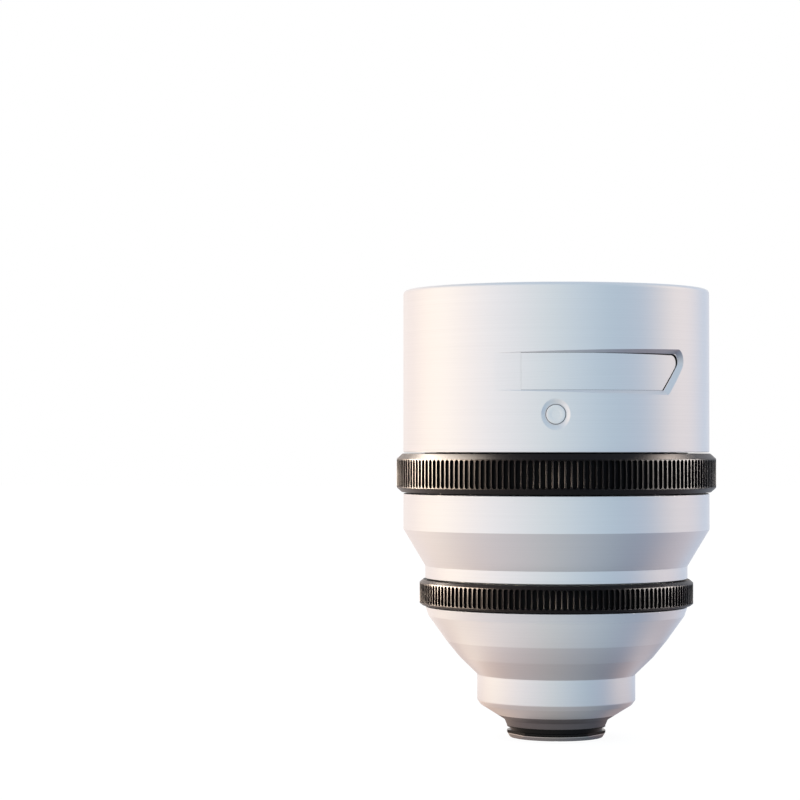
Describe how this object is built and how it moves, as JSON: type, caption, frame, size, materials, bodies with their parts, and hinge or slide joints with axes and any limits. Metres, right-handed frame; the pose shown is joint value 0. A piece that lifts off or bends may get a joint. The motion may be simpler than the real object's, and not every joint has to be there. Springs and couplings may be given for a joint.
{
  "type": "phone telephoto lens",
  "caption": "Add-on telephoto lens for a phone: stepped white barrel with two fluted black focus rings, a push button, a recessed blank plate and a rear bayonet.",
  "frame": {"origin": "centre of the foot of the phone mount", "axes": "+Z along the optical axis towards the front glass; -Y carries the push button; +X to the button's right"},
  "size_m": [0.0626, 0.0626, 0.0875],
  "materials": {
    "white_shell": "pearl-white satin anodised and coated aluminium",
    "black_grip": "black anodised, semi-gloss, machined flutes",
    "black_metal": "matt black anodised inner metal",
    "coated_glass": "polished optical glass with an anti-reflection coating",
    "steel": "plain turned steel",
    "brass": "turned brass",
    "slip_washer": "slippery white plastic",
    "bright_mount": "polished, bright chamfer"
  },
  "bodies": {
    "barrel": {"front_barrel": "white_shell", "name_plate": "white_shell", "front_trim_ring": "black_metal", "front_retaining_ring": "black_metal", "front_lens_cell": "black_metal", "front_lens": "coated_glass", "front_lens_spacer": "black_metal", "second_lens": "coated_glass", "light_baffle": "black_metal", "main_tube": "black_metal", "flange_screws": "steel", "middle_lens_cell": "black_metal", "middle_lens": "coated_glass", "middle_retaining_ring": "black_metal", "middle_barrel": "white_shell", "focus_friction_washer": "slip_washer", "field_stop": "black_metal", "fine_friction_washer": "slip_washer", "rear_barrel": "white_shell", "rear_lens_cell": "black_metal", "rear_lens": "coated_glass", "rear_retaining_ring": "black_metal", "rear_window": "coated_glass", "window_retaining_ring": "black_metal", "mount_ring": "bright_mount", "mount_screws": "steel", "button_spring": "steel"},
    "focus_ring_set": {"focus_ring": "black_grip", "focus_cam_sleeve": "black_metal", "focus_drive_pins": "steel"},
    "focus_cell_set": {"focus_cell": "black_metal", "focus_lens_front": "coated_glass", "focus_lens_rear": "coated_glass", "focus_lens_spacer": "black_metal", "focus_retaining_ring": "black_metal", "focus_cam_rollers": "brass"},
    "fine_ring_set": {"fine_focus_ring": "black_grip", "fine_cam_sleeve": "black_metal", "fine_ring_screws": "steel"},
    "eyepiece_set": {"eyepiece_cell": "black_metal", "eyepiece_lens_front": "coated_glass", "eyepiece_lens_rear": "coated_glass", "eyepiece_spacer": "black_metal", "eyepiece_retaining_ring": "black_metal", "eyepiece_cam_rollers": "brass"},
    "button_set": {"button_plunger": "white_shell", "button_clip": "steel"}
  },
  "joints": [
    {"name": "focus_turn", "type": "hinge", "parent": "barrel", "child": "focus_ring_set", "pos_m": [0, 0, 0.0517], "axis": [0, 0, 1], "range_deg": [0, 90]},
    {"name": "focus_slide", "type": "slide", "parent": "barrel", "child": "focus_cell_set", "axis": [0, 0, 1], "range_m": [0, 0.006]},
    {"name": "fine_turn", "type": "hinge", "parent": "barrel", "child": "fine_ring_set", "pos_m": [0, 0, 0.0283], "axis": [0, 0, 1], "range_deg": [-30, 30]},
    {"name": "eyepiece_slide", "type": "slide", "parent": "barrel", "child": "eyepiece_set", "axis": [0, 0, 1], "range_m": [-0.0015, 0.0015]},
    {"name": "button_press", "type": "slide", "parent": "barrel", "child": "button_set", "axis": [0, 1, 0], "range_m": [0, 0.0008], "stiffness_N_per_m": 800, "springref_m": -0.0008, "deforming": ["button_spring"]}
  ],
  "couplings": [
    {"joint": "focus_slide", "follows": "focus_turn", "m_per_rad": 0.0038197},
    {"joint": "eyepiece_slide", "follows": "fine_turn", "m_per_rad": 0.0028647}
  ]
}
